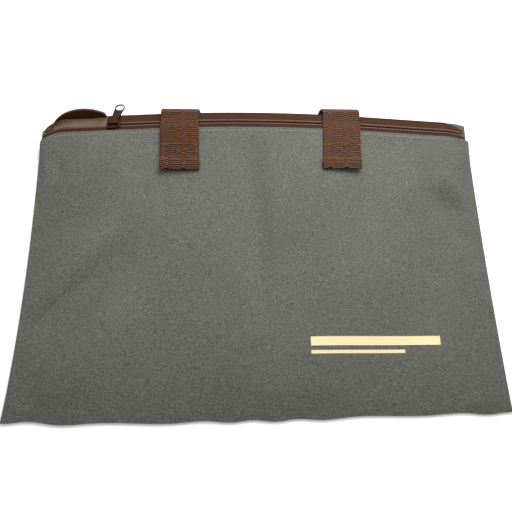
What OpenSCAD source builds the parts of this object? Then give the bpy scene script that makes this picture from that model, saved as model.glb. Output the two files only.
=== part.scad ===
// Flat zipped document bag with two webbing handles, lying on its back.
// Millimetres. X runs across the bag, Y from the bottom seam to the zip, Z up from the table.

/* [Bag] */
// Width over the bottom corners
bag_w = 440; // [380:5:480]
// Height from the bottom seam to the zip line at its ends
zip_height = 280; // [260:2:300]
// Thickness of the coated cloth
cloth_t = 0.9; // [0.6:0.1:1.2]
// How far each side is drawn in between its corners
side_pull = 3; // [0:1:6]

/* [Zip] */
// Distance from the zip line to the front cloth edge
front_margin = 7; // [6:0.5:9]
// Distance from the zip line to the back cloth edge
back_margin = 12; // [10:0.5:14]
// Slope of the zip band, falling towards the back
band_tilt = 8; // [5:1:12]
// Width of each half of the coil
coil_w = 2.4; // [2:0.1:2.5]
// Thickness of the coil
coil_t = 2.1; // [1.8:0.1:2.3]
// Thickness of the zip tape
tape_t = 0.5; // [0.4:0.05:0.6]
// Place of the slider along the zip
slider_x = -145; // [-165:1:-140]

/* [Pull] */
// Length of the pull tab from its pivot
pull_len = 27; // [22:1:28]
// Angle between the pull tab, lying back, and the zip band
pull_angle = -7; // [-7:1:10]
// Sideways lean of the pull tab on its barrel
pull_lean = 12; // [0:1:14]
// Radius of the hole in the pull tab
pull_hole_r = 4; // [3:0.1:4.1]

/* [Handles] */
// Width of the webbing
web_w = 38; // [30:1:40]
// Thickness of the webbing
web_t = 1.6; // [1.2:0.1:1.8]
// Distance from the middle of the bag to the middle of each handle end
handle_x = 81; // [75:1:95]
// How far both handles stand off from the middle of the bag
handle_shift = 3; // [-4:1:4]
// Length of the folded handle behind the bag
front_loop_len = 120; // [90:5:140]
// Length of the cross-stitched box at a handle end
box_len = 28; // [24:1:32]

/* [Hidden] */

gap = 0.1;          // air between cloth layers that lie on each other
seam_gap = 0.2;     // air between the two panels at their seam
flat_x = 105;       // the zip line is straight beyond this distance from the middle
zip_end_x = 207;    // the zip tapes end here, inside the side seams
coil_end_x = 204;
zip_end_z = 9.5;    // height of the zip line at 205 from the middle
line_end_x = 205;
slope_y = 0.025;    // the zip line's drift towards the back, per millimetre
slope_z = 0.055;     // its climb, per millimetre
top_inset = 1.5;    // the top corners are this much nearer the middle than the bottom ones
coil_gap = 1.4;     // between the two halves of the closed coil

lift = 2 * (web_t + 0.4) + web_t + 0.1;    // the back panel lies on three layers of webbing
lift_x = handle_x + abs(handle_shift) + web_w / 2 + 9;
fade = 45;          // the cloth comes back down to the table over this length

box_top_y = zip_height - 22.5;
box_bottom_y = box_top_y - box_len;
back_loop_len = front_loop_len + 44;
lift_y = box_top_y - back_loop_len - 6;

lip_left_x = -206;
lip_right_x = slider_x - 7.8;   // just clear of the slider
lip_y = 11.5;       // how far the parted coil stands off towards the back
lip_z = 9.5;        // and upwards
lip_front = 1;      // at the open mouth the back cloth edge comes forward this far
lip_drop = 1;       // and down

ct = cos(band_tilt);
st = sin(band_tilt);

function smooth(t) = let (c = min(1, max(0, t))) c * c * (3 - 2 * c);
function rise(x) = let (a = abs(x))
    a >= flat_x ? line_end_x - a : line_end_x - flat_x + (flat_x * flat_x - a * a) / (2 * flat_x);

// Zip line, and the cloth edges on both sides of it
function zip_y(x) = zip_height + slope_y * rise(x);
function zip_z(x) = zip_end_z + slope_z * rise(x);
function front_y(x) = zip_y(x) - front_margin * ct;
function front_z(x) = zip_z(x) + front_margin * st;
function mouth(x) = x <= lip_left_x || x >= lip_right_x ? 0
    : sqrt(sin(180 * (x - lip_left_x) / (lip_right_x - lip_left_x)));
function back_y(x) = zip_y(x) + back_margin * ct - lip_front * mouth(x);
function back_z(x) = zip_z(x) - back_margin * st - lip_drop * mouth(x);

// Outline: the sides are drawn in between the corners. w is 0 at the bottom seam and 1 at the top edge.
function half_w(w) = bag_w / 2 - top_inset * w - side_pull * sin(180 * w);
function side_fall(u, w) = 1 - pow(abs(u), 6 + 144 * pow(w, 12));
function bottom_rise(w) = 0.55 * (1 - pow(1 - w, 8)) + 0.45 * pow(w, 1.5);
function bump(x, y) = smooth((lift_x + fade - abs(x)) / fade) * smooth((y - lift_y + fade) / fade);

// Upper face of the front panel and lower face of the back panel
seam_z = 2 * cloth_t + seam_gap;
function front_top(x, y) = let (w = min(1, y / front_y(x)), u = min(1, abs(x) / half_w(w)))
    seam_z + (front_z(x) + 0.35 + cloth_t - seam_z) * bottom_rise(w) * side_fall(u, w);
function back_low(x, y) = let (
        w = min(1, y / back_y(x)), u = min(1, abs(x) / half_w(w)), b = lift * bump(x, y),
        edge = max(0, back_z(x) - 0.35 - cloth_t))
    b + (edge - b) * smooth((w - 0.9) / 0.1) * side_fall(u, w);

function spread(n) = [for (i = [0:n]) sin(90 * (2 * i / n - 1))];
function crowd(n) = [for (i = [0:n]) (1 - cos(180 * i / n)) / 2];
function steps(a, b, n) = [for (i = [0:n]) a + (b - a) * i / n];

// A closed solid between two grids of points, the lower and the upper one
module between(low, high) {
    n = len(low);
    m = len(low[0]);
    points = concat([for (r = low) each r], [for (r = high) each r]);
    top = n * m;
    edge = concat([for (i = [0:n - 2]) i * m], [for (j = [0:m - 2]) (n - 1) * m + j],
        [for (i = [n - 1:-1:1]) i * m + m - 1], [for (j = [m - 1:-1:1]) j]);
    cells = [for (i = [0:n - 2]) for (j = [0:m - 2]) i * m + j];
    under = [for (a = cells) each [[a, a + m, a + m + 1], [a, a + m + 1, a + 1]]];
    over = [for (f = under) [f[2] + top, f[1] + top, f[0] + top]];
    rim = [for (k = [0:len(edge) - 1]) let (a = edge[k], b = edge[(k + 1) % len(edge)])
        each [[a, a + top, b + top], [a, b + top, b]]];
    polyhedron(points, concat(under, over, rim), convexity = 6);
}

// Left-hand normal of a line of [y, z] points at each of them
function normals(p) = [for (i = [0:len(p) - 1])
    let (a = p[max(0, i - 1)], b = p[min(len(p) - 1, i + 1)], d = (b - a) / norm(b - a)) [-d[1], d[0]]];

// A strip of thickness t whose middle line at each x is path(x), a list of [y, z] points
module strip(xs, t, path) {
    rows = [for (x = xs) let (p = path(x), q = normals(p))
        [for (s = [-t / 2, t / 2]) [for (i = [0:len(p) - 1])
            [x, p[i][0] + s * q[i][0], p[i][1] + s * q[i][1]]]]];
    between([for (r = rows) r[0]], [for (r = rows) r[1]]);
}

// A patch of thickness t lying on face(x, y)
module patch(xs, ys, t, face) {
    grid = [for (x = xs) [for (y = ys) [x, y, face(x, y)]]];
    between(grid, [for (r = grid) [for (p = r) p + [0, 0, t]]]);
}

module front_panel() color("#62665f") {
    grid = [for (u = spread(28)) [for (w = crowd(16)) let (x = u * half_w(w), y = w * front_y(x))
        [x, y, front_top(x, y)]]];
    between([for (r = grid) [for (p = r) p - [0, 0, cloth_t]]], grid);
}

module back_panel() color("#5b5f58") {
    grid = [for (u = spread(28)) [for (w = crowd(18)) let (x = u * half_w(w), y = w * back_y(x))
        [x, y, back_low(x, y)]]];
    between(grid, [for (r = grid) [for (p = r) p + [0, 0, cloth_t]]]);
}

// Tape that covers the raw seam allowance inside the bag
binding_w = 8;
binding_t = 0.8;
binding_in = 26;    // from the side of the bag to the outer edge of the side bindings
binding_low = 13;   // from the bottom seam to the bottom binding
module side_binding(side) color("#3a2418") {
    rows = [for (a = [0, 0.5, 1]) [for (y = steps(24, 248, 12))
        let (x = side * (half_w(y / zip_height) - binding_in + binding_w * a * side))
            [x, y, back_low(x, y) + cloth_t + 0.3]]];
    between(rows, [for (r = rows) [for (p = r) p + [0, 0, binding_t]]]);
}
module bottom_binding() color("#3a2418")
    patch(steps(-180, 180, 24), steps(binding_low, binding_low + binding_w, 2), binding_t,
        function(x, y) back_low(x, y) + cloth_t + 0.3);

// Zip: woven tapes, coils, and the parted stretch of the back half
function closed_xs(a, b) = [for (x = concat([a], steps(-200, 200, 40), [b])) if (x >= a && x <= b) x];
function on_band(x, s) = [zip_y(x) + s * ct, zip_z(x) - s * st];
module zip_tape_front() color("#4a2d1f")
    strip(closed_xs(-zip_end_x, zip_end_x), tape_t, function(x)
        let (y = front_y(x) - 6) [
            [y, front_top(x, y) - cloth_t - gap - tape_t / 2],
            [front_y(x) - 0.4, front_z(x) - 0.05],
            on_band(x, -front_margin + 1),
            on_band(x, -(coil_gap + coil_w) / 2)]);
module zip_tape_back() color("#4a2d1f")
    strip(closed_xs(lip_right_x + 0.3, zip_end_x), tape_t, function(x)
        [on_band(x, (coil_gap + coil_w) / 2), on_band(x, back_margin / 2), on_band(x, back_margin - 0.2)]);
function coil_box(x, y, z) = [for (c = [[-1, -1], [1, -1], [1, 1], [-1, 1]])
    let (a = c[0] * coil_w / 2, b = c[1] * coil_t / 2) [x, y + a * ct + b * st, z - a * st + b * ct]];
module coil(xs, at) {
    rings = [for (x = xs) let (p = at(x)) coil_box(x, p[0], p[1])];
    between([for (r = rings) [r[0], r[1]]], [for (r = rings) [r[3], r[2]]]);
}
coil_side = (coil_gap + coil_w) / 2;
module zip_coil_front() color("#2e1a12") difference() {
    coil(closed_xs(-coil_end_x, coil_end_x), function(x) on_band(x, -coil_side));
    tape_slot(-1);
}
module zip_coil_back() color("#2e1a12") difference() {
    coil(closed_xs(lip_right_x + 0.3, coil_end_x), function(x) on_band(x, coil_side));
    tape_slot(1);
}
// The tape's edge is sewn into the middle of the coil
module tape_slot(side)
    strip(closed_xs(-zip_end_x - 1, zip_end_x + 1), tape_t + 0.1, function(x)
        [on_band(x, side * (coil_side - 0.1)), on_band(x, side * (coil_side + coil_w))]);

// The coil leaves the slider a little parted already
function parting(x) = sqrt(sin(155 * (x - lip_left_x) / (lip_right_x - lip_left_x)));
function lip_at(x) = let (k = parting(max(x, lip_left_x))) on_band(x, coil_side) + k * [lip_y, lip_z];
module zip_tape_back_lip() color("#4a2d1f")
    strip(steps(lip_left_x - 2, lip_right_x, 24), tape_t, function(x)
        let (a = lip_at(x), b = [back_y(x) - 0.2 * ct, back_z(x) + 0.3], d = (b - a) / norm(b - a))
            [a + d * (coil_w / 2 + 0.6), (a + b) / 2, b]);
module zip_coil_back_lip() color("#2e1a12")
    coil(steps(lip_left_x, lip_right_x, 24), function(x) lip_at(x));

// Stitches: rows of short threads, each lying on a face
stitch_pitch = 4.2;
stitch_half = 1.3;  // half the length of a stitch
stitch_t = 0.35;
module stitches(from, to, face, depth = stitch_t) {
    run = norm(to - from);
    n = floor(run / stitch_pitch);
    turn = atan2(to[1] - from[1], to[0] - from[0]);
    for (i = [0:n - 1]) {
        p = from + (to - from) * (i + 0.5) / n;
        e = (to - from) / run * stitch_half;
        z = face(p[0], p[1]);
        climb = face(p[0] + e[0], p[1] + e[1]) - face(p[0] - e[0], p[1] - e[1]);
        translate([p[0], p[1], z]) rotate([0, 0, turn]) rotate([0, -atan(climb / (2 * stitch_half)), 0])
            translate([-stitch_half, -0.25, depth > 0 ? 0.04 : depth - 0.04])
                cube([2 * stitch_half, 0.5, abs(depth)]);
    }
}
front_row = 4;      // from the cloth edge to its row of topstitches
back_row = 5;
module front_topstitch() color("#a9aca2")
    for (a = steps(-200, 190, 39))
        if (abs(abs(a + 5 - handle_shift) - handle_x) > web_w / 2 + 6)
            stitches([a, front_y(a) - front_row], [a + 10, front_y(a + 10) - front_row],
                function(x, y) front_top(x, y) + 0.02);
module back_topstitch() color("#a9aca2")
    for (a = steps(-200, 190, 39))
        stitches([a, back_y(a) - back_row], [a + 10, back_y(a + 10) - back_row],
            function(x, y) back_low(x, y) - 0.42, -stitch_t);

// A plain printed mark: two bars, on the cloth near the lower right corner
ink_t = 0.12;
mark_left = 42;
module printed_badge() color("#cfc19b")
    for (bar = [[119, 60, 8], [86, 53, 3]])    // length, height above the seam, width
        patch(steps(mark_left, mark_left + bar[0], 12), steps(bar[1], bar[1] + bar[2], 2), ink_t,
            function(x, y) front_top(x, y) + ink_t);

// Handles. Each one is a single length of webbing, sewn down at both ends.
function web_mid(side) = handle_shift + side * handle_x;
fold_z = (back_z(handle_x - abs(handle_shift) - web_w / 2) + 2.4) / 2 + web_t / 2;
fold_r = fold_z - web_t / 2;
fold_y = back_y(handle_x) - 0.4;
function web_xs(side) = steps(web_mid(side) - web_w / 2, web_mid(side) + web_w / 2, 4);
web_gap = 0.3;      // air between the webbing and the cloth under it
function over_panel(x, y) = [y, front_top(x, y) + web_gap + web_t / 2];
module front_handle_end(side) color("#4b2c1e")
    strip(web_xs(side), web_t, function(x) concat(
        [for (y = steps(box_bottom_y, front_y(x) - 1, 6)) over_panel(x, y)],
        [on_band(x, -coil_side) + (coil_t / 2 + web_t / 2 + 0.5) * [st, ct]],
        [on_band(x, coil_side + 1) + (coil_t / 2 + web_t / 2 + 0.3) * [st, ct]],
        [[fold_y - 0.5, fold_z + fold_r]]));
module half_ring(y, z, r, from)
    translate([from, y, z]) rotate([90, 0, 90]) linear_extrude(web_w) intersection() {
        difference() {
            circle(r + web_t / 2, $fn = 48);
            circle(r - web_t / 2, $fn = 48);
        }
        translate([0, -r - web_t]) square([2 * r + web_t, 2 * (r + web_t)]);
    }
module front_handle_fold(side) color("#4b2c1e")
    half_ring(fold_y, fold_z, fold_r, web_mid(side) - web_w / 2);

// A handle lying flat: two legs joined by a run with rounded corners
outer_r = 58;
module flat_loop(y_top, length, z) {
    out = handle_x + web_w / 2;
    translate([handle_shift, 0, z]) linear_extrude(web_t) difference() {
        loop_outline(out, y_top, length, outer_r);
        loop_outline(out - web_w, y_top + 1, length + 1 - web_w, outer_r - web_w);
    }
}
module loop_outline(half, y_top, length, r) {
    low = y_top - length;
    translate([-half, low + r]) square([2 * half, length - r]);
    translate([-half + r, low]) square([2 * (half - r), r + 1]);
    for (s = [-1, 1]) translate([s * (half - r), low + r]) circle(r, $fn = 96);
}
module front_handle_loop() color("#4b2c1e") flat_loop(fold_y - 0.3, front_loop_len, 0);

back_web_z = 2 * (web_t + 0.4) + web_t / 2;
back_fold_z = back_web_z - web_t / 2 - 0.2;
module back_handle_end(side) color("#4b2c1e")
    translate([web_mid(side) - web_w / 2, box_bottom_y, back_web_z - web_t / 2])
        cube([web_w, box_len - 0.3, web_t]);
module back_handle_fold(side) color("#4b2c1e")
    half_ring(box_top_y, back_fold_z, web_t / 2 + 0.2, web_mid(side) - web_w / 2);
module back_handle_loop() color("#4b2c1e")
    flat_loop(box_top_y - 0.3, back_loop_len, back_fold_z - 0.2 - web_t);

// Box and cross of stitches at a handle end
module box_stitch(side, face, depth) {
    a = web_mid(side) - web_w / 2 + 3;
    b = web_mid(side) + web_w / 2 - 3;
    c = box_bottom_y + 3;
    d = box_top_y - 3;
    for (run = [[[a, c], [b, c]], [[b, c], [b, d]], [[b, d], [a, d]], [[a, d], [a, c]]])
        stitches(run[0], run[1], face, depth);
    middle = [(a + b) / 2, (c + d) / 2];
    for (corner = [[a, c], [b, c], [a, d], [b, d]])
        stitches(middle + (corner - middle) * 0.1, middle + (corner - middle) * 0.9, face, depth);
}
module front_handle_stitching() color("#3a2116")
    for (side = [-1, 1]) box_stitch(side, function(x, y) front_top(x, y) + web_gap + web_t + 0.08, 0.35);
// The back handle's stitches show inside the bag
module back_handle_stitching() color("#3a2116")
    for (side = [-1, 1]) box_stitch(side, function(x, y) back_low(x, y) + cloth_t + 0.03, 0.35);

// Slider frame: x along the zip, y across the band, z out of it
travel = [1, slope_y, slope_z] / norm([1, slope_y, slope_z]);
band_n = let (n = cross(travel, [0, ct, -st])) n / norm(n);
across = cross(band_n, travel);
slider_at = [slider_x, zip_y(slider_x), zip_z(slider_x)];
module at_slider()
    multmatrix([for (k = [0:2]) [travel[k], across[k], band_n[k], slider_at[k]]])
        children();

slider_len = 13;
slider_w = 10;
plate_low = 1.55;   // inner face of each plate, from the zip's middle plane
plate_t = 0.9;
pull_bore_r = 0.68;  // runs on the bridge
barrel_r = 1.15;
bridge_r = 0.6;
pivot_z = plate_low + plate_t + barrel_r + 0.15;
module slider_plan(inset) {
    w = slider_w / 2 - inset;
    l = slider_len / 2;
    polygon([[-l, -w + 1.5], [-l + 1.5, -w], [0, -w], [l - 1.5, -w + 0.7], [l, -w + 2],
        [l, w - 2], [l - 1.5, w - 0.7], [0, w], [-l + 1.5, w], [-l, w - 1.5]]);
}
module slider_body() color("#2b1b14") at_slider() {
    for (side = [-1, 1]) mirror([0, 0, side < 0 ? 1 : 0]) {
        translate([0, 0, plate_low]) linear_extrude(plate_t) slider_plan(0);
        // flanges that hold the coil in, with a slot between them for the tape
        translate([0, 0, 0.6]) linear_extrude(plate_low - 0.59) difference() {
            slider_plan(0);
            square([slider_len + 1, 2 * (coil_w + coil_gap / 2 + 0.35)], center = true);
        }
    }
    // divider post at the throat
    translate([-slider_len / 2 + 0.6, -0.4, -plate_low - 0.1]) cube([2, 0.8, 2 * plate_low + 0.2]);
}
// Bridge: a round bar along the zip on two posts. The pull's barrel turns on it.
post_x = 3.7;       // inner face of each post
module slider_bridge() color("#2b1b14") at_slider() {
    translate([0, 0, pivot_z]) rotate([0, 90, 0])
        cylinder(h = 2 * post_x + 1, r = bridge_r, center = true, $fn = 32);
    for (side = [-1, 1]) translate([side * (post_x + 0.75) - 0.75, -0.9, plate_low + plate_t + 0.02])
        cube([1.5, 1.8, barrel_r + 0.9]);
}
shank_w = 6.4;      // width of the pull beside its barrel
pull_t = 1.2;
module pull_tab() color("#2b1b14") at_slider()
    translate([0, 0, pivot_z]) rotate([pull_angle, 0, 0]) difference() {
        union() {
            rotate([0, 90, 0]) cylinder(h = 2 * post_x - 0.5, r = barrel_r, center = true, $fn = 48);
            translate([0, 0, -pull_t / 2]) linear_extrude(pull_t) rotate(-pull_lean) {
                polygon([[-shank_w / 2, 0], [shank_w / 2, 0], [ring_r - 0.3, ring_y], [0.3 - ring_r, ring_y]]);
                translate([0, ring_y]) circle(ring_r, $fn = 64);
            }
        }
        rotate([0, 90, 0]) cylinder(h = 2 * post_x, r = pull_bore_r, center = true, $fn = 48);
        rotate(-pull_lean) translate([0, ring_y, -pull_t]) cylinder(h = 2 * pull_t, r = pull_hole_r, $fn = 64);
    }
ring_r = 5;         // outer radius of the pull's round end
ring_y = pull_len - ring_r;

// The origin is under the middle of the bag as it lies
pull_reach = ring_y * cos(pull_lean) + ring_r;
pull_tip = zip_y(slider_x) + across[1] * pull_reach * cos(pull_angle)
    + band_n[1] * (pivot_z + pull_reach * sin(pull_angle));
y_mid = max(fold_y + fold_r + web_t / 2, pull_tip) / 2;
module lay() translate([0, -y_mid, 0]) children();

lay() front_panel();
lay() back_panel();
lay() side_binding(-1);  // side_binding_left
lay() side_binding(1);  // side_binding_right
lay() bottom_binding();
lay() zip_tape_front();
lay() zip_tape_back();
lay() zip_tape_back_lip();
lay() zip_coil_front();
lay() zip_coil_back();
lay() zip_coil_back_lip();
lay() front_topstitch();
lay() back_topstitch();
lay() printed_badge();
lay() front_handle_end(-1);  // front_handle_end_left
lay() front_handle_end(1);  // front_handle_end_right
lay() front_handle_fold(-1);  // front_handle_fold_left
lay() front_handle_fold(1);  // front_handle_fold_right
lay() front_handle_loop();
lay() back_handle_end(-1);  // back_handle_end_left
lay() back_handle_end(1);  // back_handle_end_right
lay() back_handle_fold(-1);  // back_handle_fold_left
lay() back_handle_fold(1);  // back_handle_fold_right
lay() back_handle_loop();
lay() front_handle_stitching();
lay() back_handle_stitching();
lay() slider_body();
lay() slider_bridge();
lay() pull_tab();
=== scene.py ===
"""Zipped document bag: cloth, zip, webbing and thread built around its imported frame, with a plain studio."""
import math

import bpy
import numpy as np
from mathutils import Matrix, Vector


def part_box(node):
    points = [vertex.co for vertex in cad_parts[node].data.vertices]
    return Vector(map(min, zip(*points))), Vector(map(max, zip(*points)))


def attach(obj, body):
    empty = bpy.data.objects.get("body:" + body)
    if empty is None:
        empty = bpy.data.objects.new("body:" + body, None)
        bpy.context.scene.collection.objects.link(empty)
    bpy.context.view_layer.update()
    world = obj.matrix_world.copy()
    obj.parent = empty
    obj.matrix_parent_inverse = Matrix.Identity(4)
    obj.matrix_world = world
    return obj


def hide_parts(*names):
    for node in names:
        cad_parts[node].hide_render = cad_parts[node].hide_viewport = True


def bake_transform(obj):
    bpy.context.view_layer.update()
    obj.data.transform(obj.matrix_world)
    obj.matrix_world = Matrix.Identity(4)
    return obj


bl_info = {
    "name": "Document Bag",
    "version": (1, 0, 0),
    "blender": (4, 5, 0),
    "location": "View3D > Sidebar > Bag",
    "description": "Builds a zipped document bag with webbing handles on its packed frame",
    "category": "Object",
}

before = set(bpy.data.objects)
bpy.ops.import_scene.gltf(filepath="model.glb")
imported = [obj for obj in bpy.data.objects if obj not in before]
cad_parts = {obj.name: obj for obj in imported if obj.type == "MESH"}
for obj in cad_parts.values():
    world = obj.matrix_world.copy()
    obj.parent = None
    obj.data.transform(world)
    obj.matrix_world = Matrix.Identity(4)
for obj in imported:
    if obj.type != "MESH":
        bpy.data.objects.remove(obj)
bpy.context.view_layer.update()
MM = 0.001
SEAM_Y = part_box("front_panel")[0].y / MM      # the bottom seam in the row frame
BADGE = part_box("printed_badge")

# all in millimetres
TAPE_GAP = 0.35          # from the middle of the zip band to the face of the cloth sewn to it
AIR = 0.3                # between two pieces that lie on each other
LEAST_AIR = 0.2          # the least air between two pieces
ZIP_LEFT, ZIP_RIGHT = -215, 214
COIL_LEFT, COIL_RIGHT = -214, 212
CURL_X = 192             # where the zip line starts to bend at either end
BINDING = 0.8            # thickness of the seam bindings
STITCH_SHARE = 0.72      # part of each stitch pitch that the thread covers
LIP_START = 2            # the parted tape and coil start this far inside the front ones

# folds of the front cloth: start, end, width of the bell, depth
FOLDS = (((-216, 46), (-128, 152), 15, -2.6),
         ((-222, 78), (-150, 165), 16, 1.6),
         ((-190, 20), (-112, 96), 22, 1.2),
         ((-9, 262), (-1, 100), 13, -1.7),
         ((216, 160), (176, 207), 15, -1.5),
         ((214, 196), (180, 230), 12, 1.0),
         ((196, 130), (199, 20), 20, -0.9),
         ((70, 245), (96, 90), 46, 2.0),
         ((-80, 60), (-20, 150), 30, 0.8),
         ((-216, 255), (-192, 226), 12, -1.2))
FOLD_GAIN = 2.7          # all folds and waves together are this much deeper than listed

# how each front handle end lies: bulge, lean of the fold, drift at the hem and at the top
LAY = {-1: (-2.0, 0.0, 0.5, -1.4),
       1: (0.4, -3.0, -4.4, 0.8)}


# ---------------------------------------------------------------- settings

def length(text, value):
    """A property in millimetres."""
    return bpy.props.FloatProperty(name=text, description=text + " in millimetres", default=value)


class BagShape(bpy.types.PropertyGroup):
    """Sizes of the cloth body and its zip."""
    width: length("Width over the bottom corners", 440)
    zip_height: length("Height of the zip line", 280)
    cloth: length("Cloth thickness", 0.9)
    pull_in_left: length("Left side drawn in", 3)
    pull_in_right: length("Right side drawn in", 1.5)
    front_margin: length("Zip line to front cloth", 7)
    back_margin: length("Zip line to back cloth", 12)
    coil: length("Coil width", 2.4)
    tape: length("Tape thickness", 0.5)
    slider_x: length("Place of the slider", -145)
    band_tilt: bpy.props.FloatProperty(
        name="Band slope", description="Fall of the zip band toward the back in degrees", default=8)


class WebShape(bpy.types.PropertyGroup):
    """Sizes of the handles."""
    width: length("Webbing width", 38)
    thick: length("Webbing thickness", 1.6)
    spacing: length("Half the distance between the handle ends", 81)
    shift: length("Middle of the bag to the middle of the handles", 3)
    front_loop: length("Folded length of the front handle", 120)
    box_top: length("Zip line to the top of the stitched box", 22.5)
    box_length: length("Length of the stitched box", 28)
    rib: length("Rib pitch", 2.1)


class Studio(bpy.types.PropertyGroup):
    """Camera and lights."""
    lens: bpy.props.FloatProperty(
        name="Lens", description="Focal length in millimetres", default=35.16)
    overhead: bpy.props.FloatProperty(
        name="Overhead", description="Power of the overhead panel in watts", default=5.6)
    far: bpy.props.FloatProperty(
        name="Far", description="Power of the panel beyond the zip in watts", default=5)
    fill: bpy.props.FloatProperty(
        name="Fill", description="Strength of the surround", default=0.66)


# ---------------------------------------------------------------- form of the bag

def smooth(t):
    """Smoothstep of t held between 0 and 1."""
    t = np.clip(t, 0, 1)
    return t * t * (3 - 2 * t)


def crease(x, y, a, b, width, depth):
    """A soft fold along the segment a-b: depth times a bell of the distance to it, fading to its ends."""
    a, b = np.array(a, float), np.array(b, float)
    d = b - a
    run = np.hypot(*d)
    t = ((x - a[0]) * d[0] + (y - a[1]) * d[1]) / run ** 2
    off = ((x - a[0]) * -d[1] + (y - a[1]) * d[0]) / run
    fade = smooth((t + 0.25) / 0.5) * smooth((1.25 - t) / 0.5)
    return depth * fade * np.exp(-(off / width) ** 2)


class Form:
    """The bag's surfaces as functions of place, in millimetres from the bottom seam."""

    def __init__(self, bag, web):
        self.b, self.w = bag, web
        tilt = math.radians(bag.band_tilt)
        self.ct, self.st = math.cos(tilt), math.sin(tilt)
        # the zip line rises from its ends to an arch between -flat and flat
        self.flat, self.end, self.end_z = 105.0, 205.0, 9.5
        self.slope_y, self.slope_z = 0.025, 0.055
        self.coil_side = (1.4 + bag.coil) / 2
        # the mouth runs from the left seam to the slider, and parts by lip in y and z
        self.lip_left, self.lip_right = -206.0, bag.slider_x - 7.8
        self.lip = np.array([11.5, 9.5])
        # the cloth is lifted where the folded handles lie under it
        self.lift = 3 * web.thick + 0.9
        self.lift_x = web.spacing + abs(web.shift) + web.width / 2 + 9
        self.box_top = bag.zip_height - web.box_top
        self.box_low = self.box_top - web.box_length
        self.lift_y = self.box_top - web.front_loop - 50
        # the front handle's fold: the place and the radius of its turn
        low = self.back_z(np.array(web.spacing - abs(web.shift) - web.width / 2))
        self.fold_z = float((low + 2.4) / 2 + web.thick / 2)
        self.fold_r = self.fold_z - web.thick / 2
        self.fold_y = float(self.back_y(np.array(float(web.spacing)))) - 0.4

    def rise(self, x):
        """Height of the zip line's arch before its slopes: straight at the ends, a parabola between."""
        a = np.abs(x)
        arch = self.end - self.flat + (self.flat ** 2 - a * a) / (2 * self.flat)
        return np.where(a >= self.flat, self.end - a, arch)

    def line_y(self, x):
        """The zip line, bent toward the bottom seam at its left end."""
        curl = np.where(x < -CURL_X, 5.0 * (np.clip(-CURL_X - x, 0, 30) / 19) ** 2, 0)
        return self.b.zip_height + self.slope_y * self.rise(x) - curl

    def zip_y(self, x):
        """The zip line, bent toward the bottom seam at its right end too."""
        return self.line_y(x) - 3.5 * (np.clip(x - CURL_X, 0, 30) / 24) ** 2

    def zip_z(self, x):
        """Height of the zip line over the table."""
        return self.end_z + self.slope_z * self.rise(x)

    def band(self, x, s):
        """The point s millimetres down the zip band from the zip line at x."""
        return np.stack([x + 0 * s, self.zip_y(x) + s * self.ct, self.zip_z(x) - s * self.st], -1)

    def front_y(self, x):
        """Top edge of the front cloth."""
        return self.zip_y(x) - self.b.front_margin * self.ct

    def front_z(self, x):
        """Height of the zip band at the front cloth's edge."""
        return self.zip_z(x) + self.b.front_margin * self.st

    def mouth(self, x):
        """Fall of the back cloth's edge along the open mouth: a half sine's root."""
        t = np.clip((x - self.lip_left) / (self.lip_right - self.lip_left), 0, 1)
        return np.sqrt(np.sin(np.pi * t))

    def parting(self, x):
        """Share of its full opening that the back coil has at x; it leaves the slider a little parted."""
        t = np.clip((x - self.lip_left) / (self.lip_right - self.lip_left), 0, 1)
        return np.sqrt(np.sin(np.pi * 155 / 180 * t))

    def margin(self, x):
        """Width of the tape behind the zip line, narrower at both ends."""
        return self.b.back_margin * (1 - 0.45 * smooth((-x - 196) / 20) - 0.5 * smooth((x - 196) / 20))

    def back_y(self, x):
        """Top edge of the back cloth."""
        edge = self.b.back_margin * (1 - 0.45 * smooth((-x - 198) / 20) - 0.15 * smooth((x - 204) / 16))
        return self.line_y(x) + edge * self.ct - self.mouth(x)

    def back_z(self, x):
        """Height of the zip band at the back cloth's edge."""
        return self.zip_z(x) - self.b.back_margin * self.st - self.mouth(x)

    def web_x(self, side):
        """Middle of a handle end."""
        return self.w.shift + side * self.w.spacing

    def half_w(self, u, w):
        """Half the bag's width: drawn in by a sine between the bottom seam and the zip."""
        draw = np.where(u < 0, self.b.pull_in_left, self.b.pull_in_right)
        corner = np.where(u < 0, 2.2 * (1 - w) ** 8 - 1.0 * w, 1.0 * w)
        return self.b.width / 2 + corner - draw * np.sin(np.pi * w)

    def side_fall(self, u, w):
        """Share of the full height left at u: it falls near the side seams, and later near the zip."""
        return 1 - np.abs(u) ** (6 + 144 * w ** 12)

    def folds(self, x, y, u, w):
        """Creases, soft waves and seam puckers of the front cloth, held to nothing at its edges."""
        z = sum(crease(x, y, *fold) for fold in FOLDS)
        z += 0.35 * np.sin(x / 31 + 0.7) * np.sin(y / 43 + 1.1) + 0.25 * np.sin(x / 17 - y / 29)
        side = np.minimum(1 - np.abs(u), 1.0) * self.b.width / 2
        seam = w * self.b.zip_height
        top = (1 - w) * self.b.zip_height
        z = FOLD_GAIN * z * smooth(side / 30) * smooth(seam / 30) * smooth(top / 22)
        # puckers drawn up by the bottom seam, then by the side seams
        z += 0.75 * np.sin(x / 4.3 + 1.3 * np.sin(x / 31)) * np.exp(-seam / 11) * smooth(seam / 4)
        z += 0.6 * np.sin(y / 4.7 + 1.1 * np.sin(y / 23)) * np.exp(-side / 9) * smooth(side / 4)
        return z

    def front_face(self, x, y):
        """Upper face of the front cloth: from the seam up to the zip, plus its folds, kept off the back."""
        w = np.clip(y / self.front_y(x), 0, 1)
        u = np.clip(x / self.half_w(x, w), -1, 1)
        seam = 2 * self.b.cloth + LEAST_AIR
        up = 0.55 * (1 - (1 - w) ** 8) + 0.45 * w ** 1.5
        full = self.front_z(x) + TAPE_GAP + self.b.cloth
        z = seam + (full - seam) * up * self.side_fall(u, w) + self.folds(x, y, u, w)
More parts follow.
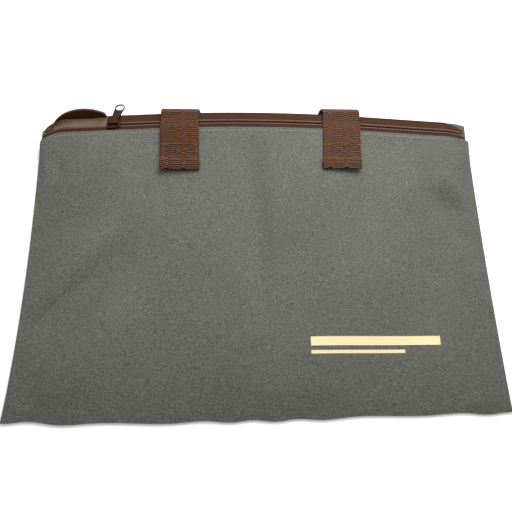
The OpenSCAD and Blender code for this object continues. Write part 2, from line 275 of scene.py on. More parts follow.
        # the bindings lie between the cloths, so the front one stays clear of them below the zip
        room = 0.15 + 1.4 * smooth((1 - np.abs(u)) * 14) * smooth(w * 28)
        below_zip = w < 0.88
        return np.maximum(z, self.back_face(x, y) + 2 * self.b.cloth + room * below_zip)

    def back_face(self, x, y):
        """Lower face of the back cloth: flat, lifted over the handles, and raised to the zip at its top."""
        w = np.clip(y / self.back_y(x), 0, 1)
        u = np.clip(x / self.half_w(x, w), -1, 1)
        over = smooth((self.lift_x + 45 - np.abs(x)) / 45) * smooth((y - self.lift_y + 45) / 45)
        low = self.lift * over
        edge = np.maximum(0, self.back_z(x) - TAPE_GAP - self.b.cloth)
        return low + (edge - low) * smooth((w - 0.9) / 0.1) ** 1.6 * self.side_fall(u, w)

    def lip_line(self, x):
        """Middle of the parted back coil at x."""
        p = self.band(x, np.full_like(x, self.coil_side))
        p[..., 1:] += self.parting(x)[..., None] * self.lip
        return p


def form():
    """The bag's surfaces for the sizes set in the sidebar."""
    scene = bpy.context.scene
    return Form(scene.bag_shape, scene.bag_web)


# ---------------------------------------------------------------- meshes

def place(points):
    """Millimetres from the bottom seam to metres in the row frame."""
    p = np.array(points, float)
    p[..., 1] += SEAM_Y
    return p * MM


def make(name, verts, quads, uv=None, material=None, polys=()):
    """A mesh object from whole arrays of vertices (mm) and quads, with a map in centimetres."""
    mesh = bpy.data.meshes.new(name)
    mesh.from_pydata(place(verts).tolist(), [], np.asarray(quads).tolist() + [list(p) for p in polys])
    if uv is not None:
        layer = mesh.uv_layers.new(name="cm")
        index = np.zeros(len(mesh.loops), np.int32)
        mesh.loops.foreach_get("vertex_index", index)
        layer.data.foreach_set("uv", (np.asarray(uv, np.float32)[index] / 10).ravel())
    mesh.polygons.foreach_set("use_smooth", np.ones(len(mesh.polygons), bool))
    mesh.validate()
    obj = bpy.data.objects.new(name, mesh)
    bpy.context.scene.collection.objects.link(obj)
    if material:
        mesh.materials.append(material)
    return obj


def cells(n, m, wrap=False):
    """Quads of an n by m grid of vertices, closed round its second way if wrap."""
    i, j = np.meshgrid(np.arange(n - 1), np.arange(m if wrap else m - 1), indexing="ij")
    k = (j + 1) % m
    return np.stack([i * m + j, (i + 1) * m + j, (i + 1) * m + k, i * m + k], -1).reshape(-1, 4)


def shell(name, low, high, material, uv=None):
    """A closed sheet between two grids of points, the lower and the upper one."""
    n, m = high.shape[:2]
    size = n * m
    over = cells(n, m)
    under = over[:, ::-1] + size
    ring = np.concatenate([np.arange(n) * m, (n - 1) * m + np.arange(1, m),
                           (np.arange(n - 2, -1, -1)) * m + m - 1, np.arange(m - 2, 0, -1)])
    after = np.roll(ring, -1)
    rim = np.stack([after, ring, ring + size, after + size], -1)
    if uv is None:
        uv = high[..., :2]
    verts = np.concatenate([high.reshape(-1, 3), low.reshape(-1, 3)])
    maps = np.tile(np.asarray(uv).reshape(-1, 2), (2, 1))
    return make(name, verts, np.concatenate([over, under, rim[:, ::-1]]), maps, material)


def tube(name, rings, material, uv=None):
    """A closed body through rings of points carried along a path, with its ends closed."""
    n, k = rings.shape[:2]
    caps = [list(range(k)), list(range((n - 1) * k, n * k))[::-1]]
    return make(name, rings.reshape(-1, 3), cells(n, k, True)[:, ::-1], uv, material, caps)


def distance(points):
    """Length along a line of points, from its start to each one."""
    return np.concatenate([[0], np.cumsum(np.linalg.norm(np.diff(points, axis=0), axis=1))])


def ribbon(name, middle, side, up, width, thick, material, start=0.0, across=34):
    """Webbing: a flat section with round edges carried along a path, with its side and up at each point."""
    w, t = width / 2, thick / 2
    shoulder = t * 0.6
    nose = w - 0.15
    top = np.linspace(-w + shoulder, w - shoulder, across)
    section = np.concatenate([np.stack([top, np.full(across, t)], -1),
                              [[nose, shoulder], [w, 0], [nose, -shoulder]],
                              np.stack([top[::-1], np.full(across, -t)], -1),
                              [[-nose, -shoulder], [-w, 0], [-nose, shoulder]]])
    rings = middle[:, None] + section[None, :, :1] * side[:, None] + section[None, :, 1:] * up[:, None]
    run = distance(middle) + start
    uv = np.stack(np.broadcast_arrays(section[None, :, 0], run[:, None]), -1).reshape(-1, 2)
    return tube(name, rings, material, uv), run[-1]


def spline(points, count):
    """Catmull-Rom curve through rows of points, sampled evenly along its length."""
    p = np.concatenate([2 * points[:1] - points[1:2], points, 2 * points[-1:] - points[-2:-1]])
    t = np.linspace(0, 1, 12, endpoint=False)[:, None]
    out = []
    for a, b, c, d in zip(p[:-3], p[1:-2], p[2:-1], p[3:]):
        square = (2 * a - 5 * b + 4 * c - d) * t ** 2
        cube = (3 * b - a - 3 * c + d) * t ** 3
        out.append(0.5 * (2 * b + (c - a) * t + square + cube))
    curve = np.concatenate(out + [points[-1:]])
    run = distance(curve)
    at = np.linspace(0, run[-1], count)
    return np.stack([np.interp(at, run, curve[:, k]) for k in range(curve.shape[1])], -1)


def threads(name, starts, ends, face, radius, material):
    """Stitches: a short tapered thread from each start to each end, arched a little over the face."""
    starts, ends = np.asarray(starts, float), np.asarray(ends, float)
    t = np.array([0, 0.12, 0.5, 0.88, 1.0])
    swell = np.array([0.35, 0.9, 1.0, 0.9, 0.35])
    around = 6
    each = len(t) * around
    a = np.arange(around) * np.pi / 3
    xy = starts[:, None] + (ends - starts)[:, None] * t[None, :, None]
    z = face(xy[..., 0], xy[..., 1]) + radius * (0.25 + np.sin(np.pi * t))[None]
    d = (ends - starts) / np.linalg.norm(ends - starts, axis=1)[:, None]
    side = np.stack([-d[:, 1], d[:, 0]], -1)
    r = radius * swell
    ring = np.zeros(xy.shape[:2] + (around, 3))
    ring[..., :2] = xy[:, :, None] + side[:, None, None] * (np.cos(a) * r[:, None])[None, ..., None]
    ring[..., 2] = z[..., None] + (np.sin(a) * r[:, None])[None]
    n = len(starts)
    base = (np.arange(n) * each)[:, None, None]
    quads = (cells(len(t), around, True)[None] + base).reshape(-1, 4)
    caps = [[b + k for k in range(around)][::-1] for b in range(0, n * each, each)]
    caps += [[b + each - around + k for k in range(around)] for b in range(0, n * each, each)]
    return make(name, ring.reshape(-1, 3), quads, None, material, caps)


def row(a, b, pitch):
    """Starts and ends of the stitches of a straight row."""
    a, b = np.array(a, float), np.array(b, float)
    n = max(1, int(round(np.hypot(*(b - a)) / pitch)))
    t = np.arange(n)
    start = (t + (1 - STITCH_SHARE) / 2) / n
    end = (t + (1 + STITCH_SHARE) / 2) / n
    return a + (b - a) * start[:, None], a + (b - a) * end[:, None]


# ---------------------------------------------------------------- materials

def linear(code):
    """sRGB hex to linear colour."""
    v = np.array([int(code[i:i + 2], 16) for i in (1, 3, 5)]) / 255
    return (*np.where(v <= 0.04045, v / 12.92, ((v + 0.055) / 1.055) ** 2.4), 1.0)


def add(tree, kind, inputs=(), **settings):
    """A node with its settings, and each input set to a value or joined to a socket."""
    n = tree.nodes.new(kind)
    for key, value in settings.items():
        setattr(n, key, value)
    for key, value in dict(inputs).items():
        if isinstance(value, bpy.types.NodeSocket):
            tree.links.new(value, n.inputs[key])
        else:
            n.inputs[key].default_value = value
    return n


def surface(name, rough, **more):
    """A material with its principled shader."""
    m = bpy.data.materials.new(name)
    m.use_nodes = True
    tree = m.node_tree
    shader = tree.nodes["Principled BSDF"]
    shader.inputs["Roughness"].default_value = rough
    for key, value in more.items():
        shader.inputs[key.replace("_", " ")].default_value = value
    return m, tree, shader


def maths(tree, what, a, b=0.0):
    """The result of one sum on two values."""
    return add(tree, "ShaderNodeMath", {0: a, 1: b}, operation=what).outputs[0]


def mix(tree, factor, a, b, blend="MIX"):
    """One colour from two."""
    n = add(tree, "ShaderNodeMix", {0: factor, 6: a, 7: b}, data_type="RGBA", blend_type=blend)
    return n.outputs[2]


def spread(tree, value, low, high, to_low=0.0, to_high=1.0):
    """A value moved from the range low to high into the range to_low to to_high."""
    return add(tree, "ShaderNodeMapRange", {0: value, 1: low, 2: high, 3: to_low, 4: to_high}).outputs[0]


def bump(tree, shader, height, depth):
    """Relief on a surface, its depth in metres."""
    n = add(tree, "ShaderNodeBump", {"Height": height, "Distance": depth, "Strength": 1.0})
    tree.links.new(n.outputs[0], shader.inputs["Normal"])


def wave(tree, value, pitch):
    """A sine of a value, raised to lie between 0 and 1."""
    sine = maths(tree, "SINE", maths(tree, "MULTIPLY", value, 2 * math.pi / pitch))
    return maths(tree, "ADD", maths(tree, "MULTIPLY", sine, 0.5), 0.5)


def woven_cloth(name, dark, light, rough):
    """600-denier plain weave: two crossed sets of threads, with uneven yarn colour."""
    m, tree, shader = surface(name, rough)
    # real threads lie 0.5 mm apart, and are drawn coarser so that they show
    pitch, grain = 0.0011, 0.0015
    where = add(tree, "ShaderNodeTexCoord").outputs["Object"]
    xyz = add(tree, "ShaderNodeSeparateXYZ", {0: where}).outputs
    weave = maths(tree, "MULTIPLY", wave(tree, xyz[0], pitch), wave(tree, xyz[1], pitch))
    yarn = add(tree, "ShaderNodeTexNoise",
               {"Vector": where, "Scale": 1 / grain, "Detail": 3.0, "Roughness": 0.7}).outputs[0]
    broad = add(tree, "ShaderNodeTexNoise", {"Vector": where, "Scale": 16.0, "Detail": 2.0}).outputs[0]
    colour = mix(tree, spread(tree, yarn, 0.3, 0.7), linear(dark), linear(light))
    # painted shade: the cloth is darkened toward the bottom seam and toward the sides
    painted_shade_low = spread(tree, xyz[1], -0.155, -0.085, 0.8, 1.0)
    # painted shade toward the sides
    painted_shade_sides = spread(tree, maths(tree, "ABSOLUTE", xyz[0]), 0.13, 0.21, 1.0, 0.91)
    shade = maths(tree, "MULTIPLY", spread(tree, broad, 0.3, 0.7, 0.95, 1.05), painted_shade_low)
    shade = maths(tree, "MULTIPLY", shade, painted_shade_sides)
    grey = add(tree, "ShaderNodeCombineColor", {0: shade, 1: shade, 2: shade}).outputs[0]
    tree.links.new(mix(tree, 1.0, colour, grey, "MULTIPLY"), shader.inputs["Base Color"])
    height = maths(tree, "ADD", weave, maths(tree, "MULTIPLY", yarn, 1.6))
    bump(tree, shader, height, 0.00022)
    return m


def webbing(name, rib):
    """Ribbed polypropylene webbing: cross ribs split by lengthwise bands, with painted shade in the grooves
    between the picks.
    """
    m, tree, shader = surface(name, 0.55, Specular_IOR_Level=0.2)
    uv = add(tree, "ShaderNodeUVMap", uv_map="cm").outputs[0]
    xyz = add(tree, "ShaderNodeSeparateXYZ", {0: uv}).outputs
    band_width = 1.6                                   # centimetres, as the map is
    band = maths(tree, "SINE", maths(tree, "MULTIPLY", xyz[0], 2 * math.pi / band_width))
    shift = maths(tree, "MULTIPLY", maths(tree, "GREATER_THAN", band, 0.75), 0.5)
    along = maths(tree, "ADD", maths(tree, "MULTIPLY", xyz[1], 10 / rib), shift)
    ribs = wave(tree, along, 1)
    fleck = add(tree, "ShaderNodeTexNoise",
                {"Vector": uv, "Scale": 9.0, "Detail": 3.0, "Roughness": 0.7}).outputs[0]
    # painted shade: the colour falls to near black in the grooves between the ribs; the flecks are uneven yarn
    # colour
    rib_shade_and_fleck = maths(tree, "MULTIPLY", maths(tree, "POWER", ribs, 2.0), spread(tree, fleck, 0.35, 0.62))
    tree.links.new(mix(tree, rib_shade_and_fleck, linear("#100602"), linear("#955833")), shader.inputs["Base Color"])
    bump(tree, shader, ribs, 0.0005)
    return m


def woven_tape(name, dark, light):
    """Woven polyester zip tape: matt, with a fine uneven grain."""
    m, tree, shader = surface(name, 0.75, Specular_IOR_Level=0.15)
    where = add(tree, "ShaderNodeTexCoord").outputs["Object"]
    noise = add(tree, "ShaderNodeTexNoise", {"Vector": where, "Scale": 800.0, "Detail": 2.0}).outputs[0]
    tree.links.new(mix(tree, noise, linear(dark), linear(light)), shader.inputs["Base Color"])
    bump(tree, shader, noise, 0.0002)
    return m


def plain(name, code, rough, **more):
    """One even colour."""
    m, _, shader = surface(name, rough, **more)
    shader.inputs["Base Color"].default_value = linear(code)
    return m


def crinkled(name, code, rough):
    """A thin film on cloth: one colour, creased where it has been folded."""
    m, tree, shader = surface(name, rough)
    shader.inputs["Base Color"].default_value = linear(code)
    where = add(tree, "ShaderNodeTexCoord").outputs["Object"]
    creases = add(tree, "ShaderNodeTexNoise", {"Vector": where, "Scale": 70.0, "Detail": 3.0}).outputs[0]
    bump(tree, shader, creases, 0.004)
    return m


LOOKS = {}


def looks():
    """The materials, made once."""
    if not LOOKS:
        rib = bpy.context.scene.bag_web.rib
        LOOKS.update(
            cloth=woven_cloth("Grey 600D polyester, plain weave", "#393b35", "#6f7169", 0.82),
            coated=crinkled("Coated reverse of the cloth, polyurethane film", "#987e62", 0.28),
            tape=woven_tape("Brown polyester zip tape, woven", "#231003", "#4c2a0f"),
            coil=plain("Brown nylon coil, extruded monofilament", "#4a2c1e", 0.42),
            webbing=webbing("Brown ribbed webbing, woven polypropylene", rib),
            enamel=plain("Dark brown enamel on die-cast zinc", "#3a1f12", 0.28, Metallic=0.6),
            thread=plain("Brown bonded nylon thread", "#7b4c31", 0.5),
            topstitch=plain("Grey bonded polyester thread", "#a3a398", 0.5),
            ink=plain("Cream screen-printing ink", "#e4d5a8", 0.6),
            binding=plain("Brown seam binding, woven", "#3a2418", 0.85))
    return LOOKS


def keep(obj, body, slot, *nodes):
    """Rides on a body and stands for CAD nodes, which it hides; its slot is not used."""
    if body:
        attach(obj, body)
    if nodes:
        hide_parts(*nodes)
    return obj


# ---------------------------------------------------------------- operators

class BAG_OT_cloth(bpy.types.Operator):
    """Front and back cloth: two woven skins with folds and seam puckers"""
    bl_idname = "bag.cloth"
    bl_label = "Cloth"

    def execute(self, context):
        f, look = form(), looks()
        columns, rows = 270, 165
        u = np.sin(np.linspace(-1, 1, columns) * np.pi / 2)[:, None]
        w = ((1 - np.cos(np.linspace(0, np.pi, rows))) / 2)[None]
        for name, node, edge, face, front, flat in (
                ("front_cloth", "front_panel", f.front_y, f.front_face, True, (0.44, 0.28)),
                ("back_cloth", "back_panel", f.back_y, f.back_face, False, (0.44, 0.295))):
            x = u * f.half_w(u, w)
            y = w * edge(x)
            z = face(x, y)
            # the bottom seam is wavy, and sags to the left of the middle
            sag = 2.6 * smooth((150 - x) / 150) * smooth((x + 216) / 60)
            ripple = (0.8 * np.sin(x / 9 + 2 * np.sin(x / 37)) + sag) * (1 - w) ** 20
            given = np.stack(np.broadcast_arrays(x, y - ripple, z), -1)
            other = given - [0, 0, f.b.cloth if front else -f.b.cloth]
            low, high = (other, given) if front else (given, other)
            obj = shell(name, low, high, look["cloth"])
            if not front:
                # the inner face shows its coating, except in strips along the two side seams
                obj.data.materials.append(look["coated"])
                inner = np.zeros((columns - 1, rows - 1), np.int32)
                inner[24:-42] = 1
                rest = np.zeros(len(obj.data.polygons) - inner.size, np.int32)
                obj.data.polygons.foreach_set("material_index", np.concatenate([inner.ravel(), rest]))
            keep(obj, "bag", "grey_cloth", node)
        return {"FINISHED"}


class BAG_OT_binding(bpy.types.Operator):
    """Seam bindings inside the bag"""
    bl_idname = "bag.binding"
    bl_label = "Seam bindings"

    def execute(self, context):
        f, look = form(), looks()
        width, points = 8, 6
        across = np.linspace(0, width, points)
        up = np.linspace(24, 248, 60)[None]
        strips = []
        for name, side in (("side_binding_left", -1), ("side_binding_right", 1)):
            inset = f.half_w(side * np.ones_like(up), up / f.b.zip_height) - 26
            strips.append((name, side * inset + across[:, None], up))
        strips.append(("bottom_binding", np.linspace(-180, 180, 80)[:, None], 13 + across[None]))
        for name, x, y in strips:
            grid = np.stack(np.broadcast_arrays(x, y, f.back_face(x, y) + f.b.cloth + AIR), -1)
            tape = shell(name + "_tape", grid, grid + [0, 0, BINDING], look["binding"])
            keep(tape, "bag", "brown_binding", name)
        return {"FINISHED"}


def tape_strip(name, xs, across, thick, material):
    """Zip tape: the line across(x) carried along the zip, given thickness along its own normal."""
    grid = np.stack([across(x) for x in xs])
    along = np.gradient(grid, axis=0)
    over = np.gradient(grid, axis=1)
    n = np.cross(along, over)
    n /= np.linalg.norm(n, axis=-1, keepdims=True)
    uv = np.stack(np.broadcast_arrays(xs[:, None], np.arange(grid.shape[1])[None]), -1)
    return shell(name, grid - n * thick / 2, grid + n * thick / 2, material, uv)


def coil_bar(name, middle, tilt, material, pitch=1.5):
    """Nylon coil: an oval section whose size swells at each turn."""
    run = distance(middle)
    at = np.arange(0, run[-1], pitch / 6)
    p = np.stack([np.interp(at, run, middle[:, k]) for k in range(3)], -1)
    a = np.arange(12) * np.pi / 6
    turn = 0.8 + 0.26 * np.abs(np.sin(np.pi * at / pitch))
    width = (turn * 1.2)[:, None, None]
    height = (turn * 1.05)[:, None, None]
    flat = np.stack([np.zeros_like(a), np.cos(a) * math.cos(tilt), -np.cos(a) * math.sin(tilt)], -1)
    tall = np.stack([np.zeros_like(a), np.sin(a) * math.sin(tilt), np.sin(a) * math.cos(tilt)], -1)
    return tube(name, p[:, None] + flat[None] * width + tall[None] * height, material)


class BAG_OT_zip(bpy.types.Operator):
    """Zip tapes and coils, with the back half parted at the open end"""
    bl_idname = "bag.zip"
    bl_label = "Zip"

    def execute(self, context):
        f, look = form(), looks()
        tilt = math.radians(f.b.band_tilt)
        t = np.linspace(0, 1, 9)

        def front(x):
            """Front tape at x, from its tuck under the cloth to its coil."""
            x = np.array(x)
            edge = f.front_y(x)
            tuck = [x, edge - 6, f.front_face(x, edge - 6) - f.b.cloth - 0.4]
            hem = [x, edge - 0.4, f.front_z(x) - 0.05]
            points = [tuck, hem, f.band(x, np.array(-6.0)), f.band(x, np.array(-f.coil_side - 0.6))]
            return spline(np.array(points, float), 9)

        def back(x):
            """Back tape at x, from its coil straight down the band."""
            return f.band(np.full(9, x), f.coil_side + 0.5 + (f.margin(x) - 0.2 - f.coil_side) * t)

        closed = f.lip_right + 0.3
        for name, node, line, xs in (
                ("front_zip_tape", "zip_tape_front", front, np.linspace(ZIP_LEFT, ZIP_RIGHT, 430)),
                ("back_zip_tape", "zip_tape_back", back, np.linspace(closed, ZIP_RIGHT, 360))):
            keep(tape_strip(name, xs, line, f.b.tape, look["tape"]), "bag", "brown_tape", node)
        for name, node, side, xs in (
                ("front_coil", "zip_coil_front", -f.coil_side, np.linspace(COIL_LEFT, COIL_RIGHT, 500)),
                ("back_coil", "zip_coil_back", f.coil_side, np.linspace(closed, COIL_RIGHT, 420))):
            coil = coil_bar(name, f.band(xs, np.full_like(xs, side)), tilt, look["coil"])
            keep(coil, "bag", "brown_coil", node)

        def lip(x):
            """Parted tape at x, from its coil to the back cloth, sagging a little between."""
            x = np.array(float(x))
            top = f.lip_line(x)
            low = np.array([x, f.back_y(x) - 0.2, f.back_z(x)])
            sag = (top + low) / 2 + np.array([0, -0.5, 0.25]) * f.mouth(x)
            return spline(np.stack([top, sag, low]), 9)

        xs = np.linspace(ZIP_LEFT + LIP_START, f.lip_right, 90)
        tape = tape_strip("lip_zip_tape", xs, lip, f.b.tape, look["tape"])
        xs = np.linspace(COIL_LEFT + LIP_START, f.lip_right, 160)
        coil = coil_bar("lip_coil", f.lip_line(xs), tilt, look["coil"])
        mid_mouth = -178.0
        middle = f.band(np.array(mid_mouth), np.array(f.coil_side))
        out = np.cross([1, f.slope_y, f.slope_z], [0, f.ct, -f.st])
        out /= np.linalg.norm(out)
        # the tape's cloth edge stays with the bag, so its bend is measured square to the band
        for obj, slot, node, reach in ((tape, "brown_tape", "zip_tape_back_lip", out * (out[1:] @ f.lip)),
                                       (coil, "brown_coil", "zip_coil_back_lip", np.array([0, *f.lip]))):
            ends = place(np.stack([middle, middle + reach]))
            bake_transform(obj)
            keep(obj, None, slot, node)
        return {"FINISHED"}


def web_path(f, side):
    """Middle line of a front handle end: turned-under hem, run over the cloth, start of its fold."""
    bulge, _, low, high = LAY[side]
    x = f.web_x(side)
    t = f.w.thick / 2
    steps = np.array([1.1, 2.2, 4, 6.5, 9, 12, 15, 20, 26, 32])
    y = np.concatenate([f.box_low + steps, [f.front_y(np.array(x)) - 1.5]])
    # the webbing lies on the highest of five lines of cloth across its width
    cloth = [f.front_face(np.full_like(y, x + d), y) for d in (-17, -9, 0, 9, 17)]
    z = np.max(cloth, axis=0) + AIR + t
    under = z[0]
    z += (2 * t + 0.2) * smooth((f.box_low + 14 - y) / 6)
    line = [[x, f.box_low + a, under] for a in (8, 5, 2.4, 1.1)]
    line += [[x, f.box_low + 0.1, under + t + 0.1]]
    line += [[x, a, b] for a, b in zip(y, z)]
    coil_top = 1.05
    for s, extra in ((-f.coil_side, 0.5), (f.coil_side + 1, AIR + max(0, bulge) * 0.5)):
        p = f.band(np.array(x), np.array(s))
        over = coil_top + t + extra
        line.append([x, p[1] + over * f.st, p[2] + over * f.ct])
    line.append([x, f.fold_y - 0.3 + bulge, f.fold_z + f.fold_r + bulge * 0.3])
    path = spline(np.array(line, float), 190)
    path[:, 0] += np.linspace(low, high, len(path))
    return path


def directions(path):
    """Side and up directions of a ribbon that turns about X only."""
    d = np.gradient(path, axis=0)
    up = np.stack([0 * d[:, 0], -d[:, 2], d[:, 1]], -1)
    up /= np.linalg.norm(up, axis=1, keepdims=True)
    return np.tile([1.0, 0, 0], (len(path), 1)), up


def u_path(half, y_top, low, r):
    """Flat U: two straight legs, two quarter circles and the straight run between them."""
    legs = np.linspace(y_top, low + r, 40)
    a = np.linspace(0, np.pi / 2, 24)[1:]
    left = np.concatenate([np.stack([np.full_like(legs, -half), legs], -1),
                           np.stack([-half + r - r * np.cos(a), low + r - r * np.sin(a)], -1)])
    right = left[::-1] * [-1, 1]
    run = np.linspace(-half + r, half - r, 34)[1:-1]
    return spline(np.concatenate([left, np.column_stack([run, np.full_like(run, low)]), right]), 220)


def flat_loop(name, f, y_top, span, z, material, lean=(0, 0)):
    """A handle lying flat: the U path with the webbing's face level, its two tops leaning sideways."""
    corner = 39
    low = y_top - span + f.w.width / 2
    p = u_path(f.w.spacing, y_top, low, corner)
    leg = 40
    near = smooth((p[:, 1] - (y_top - leg)) / leg)
    p[:, 0] += f.w.shift + near * np.where(p[:, 0] < 0, lean[0], lean[1])
    path = np.column_stack([p, np.full(len(p), z)])
    d = np.gradient(path, axis=0)
    d /= np.linalg.norm(d, axis=1, keepdims=True)
    side = np.stack([-d[:, 1], d[:, 0], 0 * d[:, 0]], -1)
    up = np.tile([0, 0, 1.0], (len(p), 1))
    return ribbon(name, path, -side, up, f.w.width, f.w.thick, material)[0]


class BAG_OT_handles(bpy.types.Operator):
    """Two webbing handles: sewn ends, folds and loops"""
    bl_idname = "bag.handles"
    bl_label = "Handles"

    def execute(self, context):
        f, look = form(), looks()
        web = look["webbing"]
        size = (f.w.width, f.w.thick, web)
        for word, side in (("left", -1), ("right", 1)):
            bulge, lean, _, drift = LAY[side]
            x = f.web_x(side)
            path = web_path(f, side)
            obj, run = ribbon(f"front_webbing_{word}", path, *directions(path), *size, across=48)
            keep(obj, "bag", "brown_webbing", f"front_handle_end_{word}")
            a = np.linspace(0, np.pi, 40)
            fold = np.stack([x + drift + (lean - drift) * smooth(a / np.pi),
                             f.fold_y - 0.3 + bulge * (1 + np.cos(a)) / 2 + f.fold_r * np.sin(a),
                             f.fold_z + f.fold_r * np.cos(a) + bulge * 0.15 * (1 + np.cos(a))], -1)
            obj, _ = ribbon(f"front_fold_{word}", fold, *directions(fold), *size, run)
            c = place([[0, f.fold_y, f.fold_z]])[0]
            r = (f.fold_r + 0.8) * MM
            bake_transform(obj)
            keep(obj, None, "brown_webbing", f"front_handle_fold_{word}")
            z = f.lift - 0.1 - f.w.thick / 2
            path = spline(np.array([[x, f.box_low + 0.2, z], [x, f.box_top, z]]), 60)
            obj, run = ribbon(f"back_webbing_{word}", path, *directions(path), *size)
            keep(obj, "bag", "brown_webbing", f"back_handle_end_{word}")
            r = f.w.thick / 2 + LEAST_AIR
            fold = np.stack([0 * a + x, f.box_top + r * np.sin(a), z - r + r * np.cos(a)], -1)
            obj, _ = ribbon(f"back_fold_{word}", fold, *directions(fold), *size, run)
            c = place([[0, f.box_top, z - r]])[0]
            r *= MM
            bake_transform(obj)
            keep(obj, None, "brown_webbing", f"back_handle_fold_{word}")
        loop = flat_loop("front_loop", f, f.fold_y - 0.3, f.w.front_loop, f.w.thick / 2, web, (0, -3.5))
        keep(loop, "front_handle", "brown_webbing", "front_handle_loop")
        # the back loop starts at the top of its box, and reaches 44 mm further from there than the front one
        over = f.w.thick * 1.5 + AIR
        loop = flat_loop("back_loop", f, f.box_top - 0.3, f.w.front_loop + 44, over, web)
        keep(loop, "back_handle", "brown_webbing", "back_handle_loop")
        return {"FINISHED"}


class BAG_OT_stitches(bpy.types.Operator):
    """Topstitching along the zip and the crossed boxes at the handle ends"""
    bl_idname = "bag.stitches"
    bl_label = "Stitches"

    def execute(self, context):
        f, look = form(), looks()
        x = np.linspace(-203, 203, 119)
        step = x[1] - x[0]
        start = x[:-1]
        end = start + step * STITCH_SHARE
        # the front row leaves out the stitches that the handle ends would cover
        seen = np.abs(np.abs(start + 1.2 - f.w.shift) - f.w.spacing) > f.w.width / 2 + 1
        every = np.ones(len(start), bool)
        below = lambda px, py: f.back_face(px, py) - 0.3
        for name, edge, inset, face, used, node in (
                ("front_topstitches", f.front_y, 4.0, f.front_face, seen, "front_topstitch"),
                ("back_topstitches", f.back_y, 5.0, below, every, "back_topstitch")):
            a = np.stack([start, edge(start) - inset], -1)[used]
            b = np.stack([end, edge(end) - inset], -1)[used]
            keep(threads(name, a, b, face, 0.28, look["topstitch"]), "bag", "grey_thread", node)
        box_pitch = 2.9
        rows = []
        for side in (-1, 1):
            x0, x1 = f.web_x(side) - f.w.width / 2 + 3, f.web_x(side) + f.w.width / 2 - 3
            y0, y1 = f.box_low + 9.5, f.box_top - 1
            # a row along the hem, the four sides of the box, then its cross
            for a, b in (((x0, y0 - 5), (x1, y0 - 5)),
                         ((x0, y0), (x1, y0)), ((x1, y0), (x1, y1)),
                         ((x1, y1), (x0, y1)), ((x0, y1), (x0, y0)),
                         ((x0, y0), (x1, y1)), ((x0, y1), (x1, y0))):
                rows.append(row(a, b, box_pitch))
        starts, ends = np.concatenate([r[0] for r in rows]), np.concatenate([r[1] for r in rows])
        # the upper run of each handle end, above its turned-under hem
        paths = {side: web_path(f, side) for side in (-1, 1)}
        paths = {side: p[np.argmin(p[:, 1]):] for side, p in paths.items()}

        def on_web(px, py):
            """Upper face of the handle ends."""
            left = np.interp(py, paths[-1][:, 1], paths[-1][:, 2])
            right = np.interp(py, paths[1][:, 1], paths[1][:, 2])
            return np.where(px < 0, left, right) + f.w.thick / 2 + 0.05

        box = threads("front_box_stitches", starts, ends, on_web, 0.4, look["thread"])
        keep(box, "bag", "brown_thread", "front_handle_stitching")
        inside = lambda px, py: f.back_face(px, py) + f.b.cloth
        box = threads("back_box_stitches", starts, ends, inside, 0.3, look["thread"])
        keep(box, "bag", "brown_thread", "back_handle_stitching")
        return {"FINISHED"}


class BAG_OT_badge(bpy.types.Operator):
    """Plain printed mark: two bars of ink on the cloth"""
    bl_idname = "bag.badge"
    bl_label = "Printed mark"

    def execute(self, context):
        f, look = form(), looks()
        lo, hi = np.array(BADGE[0]) / MM, np.array(BADGE[1]) / MM
        y0, y1 = lo[1] - SEAM_Y, hi[1] - SEAM_Y
        short = lo[0] + 0.72 * (hi[0] - lo[0])
        ink = 0.1
        bars = ((lo[0], hi[0], y1 - 8, y1), (lo[0], short, y0, y0 + 3))
        for k, (left, right, low, high) in enumerate(bars, 1):
            x, y = np.linspace(left, right, 120)[:, None], np.linspace(low, high, 14)[None]
            grid = np.stack(np.broadcast_arrays(x, y, f.front_face(x, y) + 0.02), -1)
            bar = shell(f"print_bar_{k}", grid, grid + [0, 0, ink], look["ink"])
            keep(bar, "bag", "cream_print", "printed_badge")
        return {"FINISHED"}


class BAG_OT_slider(bpy.types.Operator):
    """Finish of the slider, its bridge and the pull"""
    bl_idname = "bag.slider"
    bl_label = "Slider"

    def execute(self, context):
        for name in ("slider_body", "slider_bridge", "pull_tab"):
            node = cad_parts[name]
            node.data.materials.clear()
            node.data.materials.append(looks()["enamel"])
        return {"FINISHED"}


# the camera's turn, and its place in millimetres from the bottom seam
CAMERA_TURN = ((0.99855, 0.00191, -0.05388),
               (-0.01884, 0.94871, -0.31559),
               (0.05051, 0.31615, 0.94736))
CAMERA_AT = (-30.24, -3.58, 453.2)


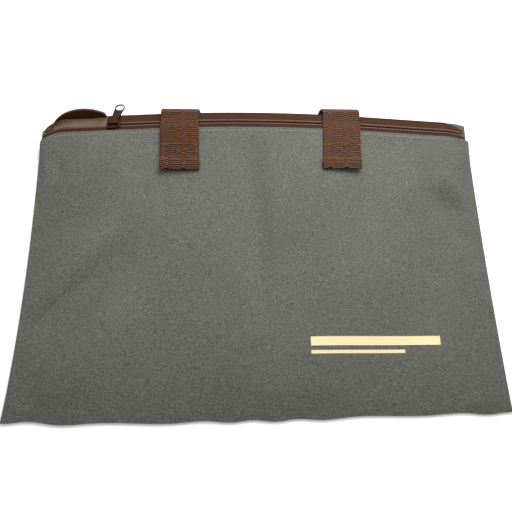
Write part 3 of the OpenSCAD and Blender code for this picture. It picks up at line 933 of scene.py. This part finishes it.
class BAG_OT_stage(bpy.types.Operator):
    """Pale table, soft lights and the camera"""
    bl_idname = "bag.stage"
    bl_label = "Stage"

    def execute(self, context):
        scene = context.scene
        scene.view_settings.view_transform = "Standard"
        s = scene.bag_studio
        bpy.ops.mesh.primitive_plane_add(size=8)
        table = context.object
        table.name = "table"
        table.data.materials.append(plain("White laminate table", "#fdfdfc", 0.6))
        for name, at, power, aim in (("overhead", (0.15, 0.5, 0.6), s.overhead, (0.05, 0.05, 0)),
                                     ("far", (0.3, 0.9, 0.7), s.far, (0, 0, 0))):
            light = bpy.data.lights.new(name, "AREA")
            light.size = 0.5
            light.energy = power
            obj = bpy.data.objects.new(name, light)
            scene.collection.objects.link(obj)
            obj.location = at
            obj.rotation_euler = (Vector(aim) - Vector(at)).to_track_quat("-Z", "Y").to_euler()
        world = bpy.data.worlds.new("Surround")
        world.use_nodes = True
        world.node_tree.nodes["Background"].inputs[0].default_value = linear("#fffefb")
        world.node_tree.nodes["Background"].inputs[1].default_value = s.fill
        scene.world = world
        cam = bpy.data.cameras.new("camera")
        cam.lens = s.lens
        cam.sensor_width = 36
        cam.clip_start = 0.01
        obj = bpy.data.objects.new("camera", cam)
        scene.collection.objects.link(obj)
        m = Matrix(CAMERA_TURN).to_4x4()
        m.translation = place([CAMERA_AT])[0].tolist()
        obj.matrix_world = m
        scene.camera = obj
        return {"FINISHED"}


class BAG_PT_panel(bpy.types.Panel):
    """Settings and steps in the sidebar"""
    bl_label = "Document Bag"
    bl_idname = "BAG_PT_panel"
    bl_space_type = "VIEW_3D"
    bl_region_type = "UI"
    bl_category = "Bag"

    def draw(self, context):
        for group in (context.scene.bag_shape, context.scene.bag_web, context.scene.bag_studio):
            for key in group.__annotations__:
                self.layout.prop(group, key)
        for step in STEPS:
            self.layout.operator(step.bl_idname)


STEPS = (BAG_OT_cloth, BAG_OT_binding, BAG_OT_zip, BAG_OT_handles, BAG_OT_stitches, BAG_OT_badge,
         BAG_OT_slider, BAG_OT_stage)
GROUPS = (BagShape, WebShape, Studio)


def register():
    for c in GROUPS + STEPS + (BAG_PT_panel,):
        bpy.utils.register_class(c)
    bpy.types.Scene.bag_shape = bpy.props.PointerProperty(type=BagShape)
    bpy.types.Scene.bag_web = bpy.props.PointerProperty(type=WebShape)
    bpy.types.Scene.bag_studio = bpy.props.PointerProperty(type=Studio)


def unregister():
    for name in ("bag_shape", "bag_web", "bag_studio"):
        delattr(bpy.types.Scene, name)
    for c in reversed(GROUPS + STEPS + (BAG_PT_panel,)):
        bpy.utils.unregister_class(c)


def main():
    """Builds the bag and the stage."""
    register()
    bpy.ops.bag.cloth()
    bpy.ops.bag.binding()
    bpy.ops.bag.zip()
    bpy.ops.bag.handles()
    bpy.ops.bag.stitches()
    bpy.ops.bag.badge()
    bpy.ops.bag.slider()
    bpy.ops.bag.stage()


if __name__ == "__main__":
    main()
